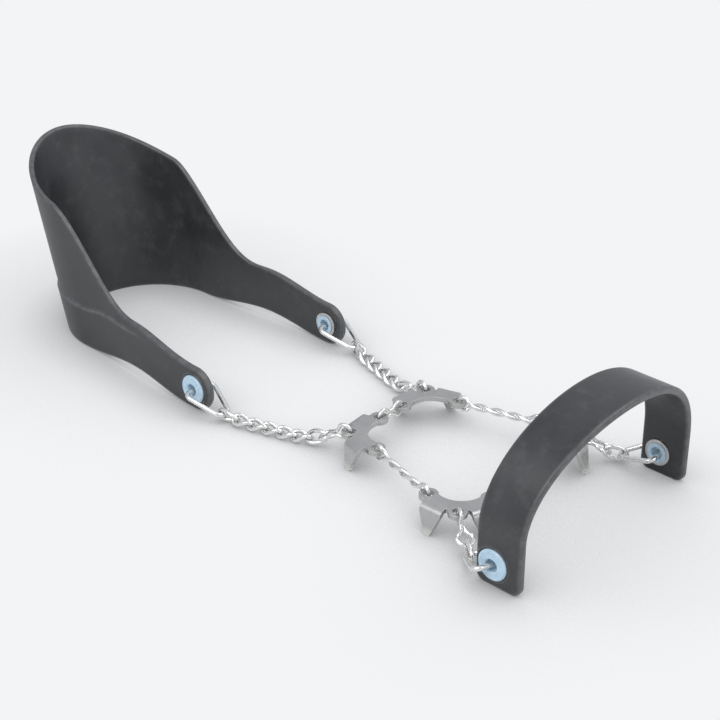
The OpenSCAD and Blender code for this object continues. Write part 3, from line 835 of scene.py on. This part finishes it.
HALF_T = STRAP_T / 2
EDGE_ZONE = 1.3
EDGE_ZONE_MOST = 0.3
EDGE_CUTS = 8
# edge wear reaches this many edge radii and also paints a highlight along the edges
EDGE_WEAR_AND_HIGHLIGHT = 1.6
STEP_CUTS = 5
STEP_RISE = 0.9
STEP_MOST = 0.1
LOW_CUTS = 34
HIGH_CUTS = 26
TOE_CUTS = 26
TAB_STEPS = 22
TAB_END = 86
NEAR_LEN = 10.0
NEAR_STEPS = 24
ARM_STEPS = 48
ARC_STEPS = 45
FOOT_STEPS = 14
SIDE_STEPS = 40
SHARP_ANGLE = 50
TINY = 1e-6


def thickness_at(d):
    """Half thickness of a strap at distance d from its edge."""
    gap = EDGE_ROUND - min(max(d, 0), EDGE_ROUND)
    return HALF_T - EDGE_ROUND + math.sqrt(EDGE_ROUND ** 2 - gap ** 2)


def ring_at(rho):
    """Height of the moulded ring at distance rho from the eyelet's middle."""
    off = abs(rho - RING_R) / RING_W
    return RING_H * math.cos(math.pi / 2 * off) ** 2 if off < 1 else 0.0


def from_edge(edge, far, cuts, slope=1.0):
    """Positions from an edge to a point far from it, close together near the edge; slope is its cosine."""
    zone = (far - edge) * min(EDGE_ZONE_MOST, EDGE_ZONE / slope / max(abs(far - edge), TINY))
    out = [edge + zone * (1 - math.cos(math.pi / 2 * k / EDGE_CUTS)) for k in range(EDGE_CUTS)]
    return out + [edge + zone + (far - edge - zone) * k / cuts for k in range(cuts)]


def strap(node, rows, eye):
    """A solid from rows of (point, outward direction, edge distance, rise of the outer face, painted
    highlight).
    """
    verts = []
    wear_and_highlight = []
    for sign in (1, -1):
        for row in rows:
            for p, n, d, rise, painted_highlight in row:
                lift = thickness_at(d) + (rise if sign > 0 else 0)
                verts.append(to_frame(p + n * sign * lift, 1))
                # lighter colour: real wear near the edges, which also paints an edge highlight, and on the
                # outer face the row's painted highlight
                wear_and_highlight.append(max(1 - smooth(d / (EDGE_WEAR_AND_HIGHLIGHT * EDGE_ROUND)), painted_highlight if sign > 0 else 0))
    wide = len(rows[0])
    deep = len(rows)
    inner = wide * deep
    faces = []
    for i in range(deep - 1):
        for j in range(wide - 1):
            a = i * wide + j
            b = a + wide
            faces.append((a, a + 1, b + 1, b))
            faces.append((inner + a, inner + b, inner + b + 1, inner + a + 1))
    rim = list(range(wide))
    rim += [i * wide + wide - 1 for i in range(1, deep)]
    rim += [(deep - 1) * wide + j for j in range(wide - 2, -1, -1)]
    rim += [i * wide for i in range(deep - 2, 0, -1)]
    for a, b in zip(rim, rim[1:] + rim[:1]):
        faces.append((b, a, inner + a, inner + b))
    obj = new_object(node + "_moulded", verts, faces)
    values = obj.data.attributes.new("wear_and_highlight", "FLOAT", "POINT")
    values.data.foreach_set("value", wear_and_highlight)
    pierce(obj, eye)
    return dress(obj, node, node, RUBBER)


def pierce(obj, eye):
    """Cuts the seats of both eyelets through a strap."""
    bm = bmesh.new()
    bmesh.ops.create_cone(bm, segments=LATHE_SIDES, radius1=SEAT_R * MM, radius2=SEAT_R * MM,
                          depth=4 * HEEL_WIDTH * MM, cap_ends=True)
    mesh = bpy.data.meshes.new("cutter")
    bm.to_mesh(mesh)
    bm.free()
    cutter = bpy.data.objects.new("cutter", mesh)
    bpy.context.scene.collection.objects.link(cutter)
    mesh.transform(Matrix.Translation(to_frame((eye.x, 0, eye.z), 1)) @ Matrix.Rotation(math.pi / 2, 4, "X"))
    cut = obj.modifiers.new("cut", "BOOLEAN")
    cut.operation = "DIFFERENCE"
    cut.solver = "EXACT"
    cut.object = cutter
    view = bpy.context.evaluated_depsgraph_get()
    pierced = bpy.data.meshes.new_from_object(obj.evaluated_get(view))
    obj.modifiers.clear()
    obj.data = pierced
    pierced.shade_smooth()
    pierced.set_sharp_from_angle(angle=math.radians(SHARP_ANGLE))
    bpy.data.objects.remove(cutter)


def heel_upper(v):
    """Upper edge of the heel strap: tab, arm, cup and spine."""
    return (2 * TAB_R + (HEEL_ARM_H - 2 * TAB_R) * smooth(v / CUP_START)
            + (HEEL_CUP_H - HEEL_ARM_H) * smooth((max(0, v - CUP_START) / (CUP_END - CUP_START)) ** CUP_BLEND)
            + (HEEL_SPINE_H - HEEL_CUP_H) * smooth((v - SPINE_START) / (1 - SPINE_START)))


def heel_lean(v):
    """How far the strap leans back per unit of height."""
    return tand(HEEL_RAKE) * smooth((v - LEAN_START) / (LEAN_END - LEAN_START))


def heel_step(v, lo, hi):
    """Top of the thick lower band, which runs out into the arms' upper edge."""
    top = hi - STRAP_EDGE - STEP_MOST * (hi - lo - 2 * STRAP_EDGE)
    return top - (top - HEEL_RIB_H) * smooth((v - STEP_START) / STEP_DROP)


def heel_across(lo, hi, step, slope):
    """Heights at which a heel strap row has points, from the lower edge over the step to the upper edge."""
    rise = min(STEP_RISE, STEP_MOST * (hi - lo))
    low = from_edge(lo, step - rise, LOW_CUTS)
    high = from_edge(hi, step, HIGH_CUTS, slope)
    return low + [step - rise + rise * k / STEP_CUTS for k in range(STEP_CUTS)] + [step] + high[::-1]


def heel_stations():
    """x, y, lower edge, upper edge and place along the heel strap's left half, from the tab to the back."""
    out = []
    for i in range(TAB_STEPS):
        q = TAB_END - TAB_END * i / TAB_STEPS
        half = TAB_R * cosd(q)
        out.append((HEEL_EYE.x + TAB_R * sind(q), HEEL_EYE.y, EYELET_Z - half, EYELET_Z + half, 0))
    near = NEAR_LEN / HEEL_ARM_L
    arm = [near * i / NEAR_STEPS for i in range(NEAR_STEPS)]
    arm += [near + (1 - near) * i / ARM_STEPS for i in range(ARM_STEPS)]
    for u in arm:
        v = HEEL_ARM_L * u / HEEL_HALF_L
        out.append((HEEL_EYE.x - HEEL_ARM_L * u,
                    HEEL_EYE.y + (HEEL_R - HEEL_EYE.y) * smooth((u - FLARE_START) / (1 - FLARE_START)),
                    HEEL_LIFT * sind(180 * u) ** 2, heel_upper(v), v))
    for i in range(ARC_STEPS + 1):
        q = 90 * i / ARC_STEPS
        v = (HEEL_ARM_L + HEEL_R * math.radians(q)) / HEEL_HALF_L
        out.append((HEEL_ARC_X - HEEL_R * sind(q), HEEL_R * cosd(q), 0, heel_upper(v), v))
    return out + [(x, -y, lo, hi, v) for x, y, lo, hi, v in reversed(out[:-1])]


def slope_factor(stations, i, edge):
    """Cosine of an edge's slope at a station, which turns heights into distances from the edge."""
    a, b = neighbours(stations, i)
    run = math.hypot(b[0] - a[0], b[1] - a[1])
    return run / math.hypot(run, b[edge] - a[edge])


def neighbours(stations, i):
    return stations[max(0, i - 1)], stations[min(len(stations) - 1, i + 1)]


def heel_rows():
    stations = heel_stations()
    rows = []
    for i, (x, y, lo, hi, v) in enumerate(stations):
        a, b = neighbours(stations, i)
        t = Vector((b[0] - a[0], b[1] - a[1], 0)).normalized()
        n = Vector((t.y, -t.x, 0))
        c_lo = slope_factor(stations, i, 2)
        c_hi = slope_factor(stations, i, 3)
        step = heel_step(v, lo, hi)
        set_in = smooth((v - STEP_START) / STEP_FADE)
        row = []
        for z in heel_across(lo, hi, step, c_hi):
            rho = math.hypot(x - HEEL_EYE.x, z - EYELET_Z)
            d = TAB_R - rho if x > HEEL_EYE.x else min((z - lo) * c_lo, (hi - z) * c_hi)
            if i in (0, len(stations) - 1):
                d = 0
            above = (z - step + STEP_RISE) / STEP_RISE
            ring = ring_at(rho)
            rise = ring - HEEL_THIN * set_in * smooth(above)
            # painted highlight along the ridge of the step, and on the raised eyelet ring
            painted_highlight = set_in * math.exp(-above ** 2)
            row.append((Vector((x - heel_lean(v) * z, y, z)), n, d, rise, max(painted_highlight, ring)))
        rows.append(row)
    return rows


def toe_edges(u):
    """Rear and front edge of the toe strap, from its sides at 0 to its top at 1."""
    half = TOE_FOOT_W / 2 + (TOE_TOP_W - TOE_FOOT_W) / 2 * u
    middle = TOE_EYE.x + TOE_SHIFT + TOE_LEAN * u
    return middle - half, middle + half


def toe_stations():
    """y, z, rear edge and front edge along the toe strap's left half, from the floor to the top."""
    out = []
    rear, front = toe_edges(0)
    for i in range(FOOT_STEPS):
        q = 90 * i / FOOT_STEPS
        cut = TOE_CORNER * (1 - sind(q))
        out.append((TOE_EYE.y, TOE_CORNER * (1 - cosd(q)), rear + cut, front - cut))
    for i in range(SIDE_STEPS):
        out.append((TOE_EYE.y, TOE_CORNER + (TOE_SIDE_H - TOE_CORNER) * i / SIDE_STEPS, rear, front))
    for i in range(ARC_STEPS + 1):
        q = 90 * i / ARC_STEPS
        rear, front = toe_edges(smooth(i / ARC_STEPS))
        out.append((TOE_EYE.y * cosd(q), TOE_SIDE_H + (TOE_TOP - TOE_SIDE_H) * sind(q), rear, front))
    return out + [(-y, z, rear, front) for y, z, rear, front in reversed(out[:-1])]


def toe_edge_distance(x, z, rear, front):
    """Distance from the toe strap's edge; its ends have rounded corners."""
    foot_rear, foot_front = toe_edges(0)
    if z < TOE_CORNER:
        dx = max(foot_rear + TOE_CORNER - x, x - foot_front + TOE_CORNER)
        if dx > 0:
            return TOE_CORNER - math.hypot(dx, TOE_CORNER - z)
        return z
    return min(x - rear, front - x, z)


def toe_rows():
    stations = toe_stations()
    rows = []
    for i, (y, z, rear, front) in enumerate(stations):
        a, b = neighbours(stations, i)
        t = Vector((b[0] - a[0], b[1] - a[1])).normalized()
        n = Vector((0, t.y, -t.x))
        middle = (rear + front) / 2
        row = []
        for x in from_edge(front, middle, TOE_CUTS) + [middle] + from_edge(rear, middle, TOE_CUTS)[::-1]:
            ring = ring_at(math.hypot(x - TOE_EYE.x, z - EYELET_Z))
            # the raised eyelet ring also gets a painted highlight
            row.append((Vector((x, y, z)), n, toe_edge_distance(x, z, rear, front), ring, ring))
        rows.append(row)
    return rows


strap("heel_strap", heel_rows(), HEEL_EYE)
strap("toe_strap", toe_rows(), TOE_EYE)


# stage: pale floor, soft lamps, the photo's viewing direction; SHADES are reaches in metres with the depths of
# the floor's painted shade

FLOOR_R = 30.0
FLOOR_SIDES = 64
FLOOR_DARK = (0.86, 0.86, 0.86)
FLOOR_LIGHT = (0.89, 0.89, 0.89)
FLOOR_ROUGH = 0.9
CLEAR = (1, 1, 1)
SHADES = ((0.09, 0.62), (0.025, 0.3))
SHADE_FULL = 0.3
SHADE = (0.222, 0.2265, 0.235)
PALE = (0.90, 0.905, 0.915)
DAYLIGHT = (0.93, 0.95, 1.0)
WORLD_LIGHT = 0.42
WORLD_GLOSS = 0.75
VIEW_AZIMUTH = 43
VIEW_ELEVATION = 29
LENS = 85
SENSOR = 36
FRAME_SHARE = 0.92
FIT_ROUNDS = 30
FIT_STRIDE = 7
CLIP_NEAR = 0.01
CLIP_FAR = 50


def direction(azimuth, elevation):
    """Unit vector from the part to a viewer or lamp."""
    return Vector((sind(azimuth) * cosd(elevation), -cosd(azimuth) * cosd(elevation), sind(elevation)))


def floor():
    """A pale floor; the camera sees only a painted shade on a clear film, darker where something stands near
    above, so that it hides nothing that swings below it.
    """
    bm = bmesh.new()
    bmesh.ops.create_circle(bm, segments=FLOOR_SIDES, radius=FLOOR_R, cap_ends=True)
    mesh = bpy.data.meshes.new("floor")
    bm.to_mesh(mesh)
    bm.free()
    obj = bpy.data.objects.new("floor", mesh)
    bpy.context.scene.collection.objects.link(obj)
    s = Shader("floor_pale", PALE)
    cloud = s.noise(s.object_coords(), scale=3, detail=2)
    s.surface(s.mix(cloud, FLOOR_DARK, FLOOR_LIGHT), FLOOR_ROUGH, specular=0.1)
    clear = s.add("ShaderNodeBsdfTransparent")
    painted_shade_film = s.add("ShaderNodeBsdfTransparent")
    # painted shade: each reach darkens the clear film where something stands near above, in place of the
    # floor's own shadow
    depth = 0.0
    for reach, full in SHADES:
        depth = s.maths("ADD", s.spread(s.openness(reach), SHADE_FULL, 1.0, full, 0.0), depth)
    s.put(painted_shade_film.inputs["Color"], s.mix(depth, CLEAR, SHADE))
    path = s.add("ShaderNodeLightPath")
    from_below = s.add("ShaderNodeNewGeometry").outputs["Backfacing"]
    looked_at = s.blend(path.outputs["Is Camera Ray"], s.bsdf.outputs[0], painted_shade_film.outputs[0])
    lit_through = s.maths("MULTIPLY", path.outputs["Is Shadow Ray"], from_below)
    s.put(s.out.inputs[0], s.blend(lit_through, looked_at, clear.outputs[0]))
    mesh.materials.append(s.material)
    obj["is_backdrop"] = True


def lamp(name, azimuth, elevation, distance, size, watts):
    data = bpy.data.lights.new(name, "AREA")
    data.shape = "DISK"
    data.size = size
    data.energy = watts
    obj = bpy.data.objects.new(name, data)
    bpy.context.scene.collection.objects.link(obj)
    back = direction(azimuth, elevation)
    obj.location = back * distance
    obj.rotation_euler = (-back).to_track_quat("-Z", "Y").to_euler()


def world():
    """Soft daylight all round, paler for mirror rays, and the pale backdrop that the camera sees."""
    made = bpy.data.worlds.new("studio")
    bpy.context.scene.world = made
    made.use_nodes = True
    tree = made.node_tree
    tree.nodes.clear()
    path = tree.nodes.new("ShaderNodeLightPath")
    out = tree.nodes.new("ShaderNodeOutputWorld")

    def sky(colour, strength):
        node = tree.nodes.new("ShaderNodeBackground")
        node.inputs["Color"].default_value = (*colour, 1)
        node.inputs["Strength"].default_value = strength
        return node

    last = sky(DAYLIGHT, WORLD_LIGHT)
    for ray, seen in (("Is Glossy Ray", sky(DAYLIGHT, WORLD_GLOSS)),
                      ("Is Transmission Ray", sky(DAYLIGHT, WORLD_GLOSS)),
                      ("Is Camera Ray", sky(PALE, 1))):
        mix = tree.nodes.new("ShaderNodeMixShader")
        tree.links.new(path.outputs[ray], mix.inputs[0])
        tree.links.new(last.outputs[0], mix.inputs[1])
        tree.links.new(seen.outputs[0], mix.inputs[2])
        last = mix
    tree.links.new(last.outputs[0], out.inputs[0])


def camera():
    """A camera at the photo's direction, as near as the whole part allows."""
    data = bpy.data.cameras.new("camera")
    data.lens = LENS
    data.sensor_width = SENSOR
    obj = bpy.data.objects.new("camera", data)
    bpy.context.scene.collection.objects.link(obj)
    bpy.context.scene.camera = obj
    back = direction(VIEW_AZIMUTH, VIEW_ELEVATION)
    turn = (-back).to_track_quat("-Z", "Y")
    right = turn @ Vector((1, 0, 0))
    up = turn @ Vector((0, 1, 0))
    dg = bpy.context.evaluated_depsgraph_get()
    points = []
    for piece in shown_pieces():
        mesh = piece.evaluated_get(dg).data
        points += [v.co.copy() for v in list(mesh.vertices)[::FIT_STRIDE]]
    reach = SENSOR / 2 / LENS * FRAME_SHARE
    aim = sum(points, Vector()) / len(points)
    distance = 1.0
    for _ in range(FIT_ROUNDS):
        seen = []
        for p in points:
            off = p - aim
            depth = distance - off.dot(back)
            seen.append((off.dot(right) / depth, off.dot(up) / depth))
        left, low = (min(v[k] for v in seen) for k in (0, 1))
        far, top = (max(v[k] for v in seen) for k in (0, 1))
        aim += (right * (left + far) + up * (low + top)) / 2 * distance
        distance *= max(far - left, top - low) / 2 / reach
    obj.location = aim + back * distance
    obj.rotation_mode = "QUATERNION"
    obj.rotation_quaternion = turn
    data.clip_start = CLIP_NEAR
    data.clip_end = CLIP_FAR


floor()
world()
lamp("key", azimuth=5, elevation=48, distance=1.3, size=0.8, watts=8.2)
lamp("fill", azimuth=100, elevation=38, distance=1.4, size=1.0, watts=3.2)
lamp("back", azimuth=150, elevation=58, distance=1.4, size=0.9, watts=5.4)
camera()
bpy.context.scene.view_settings.view_transform = "Standard"
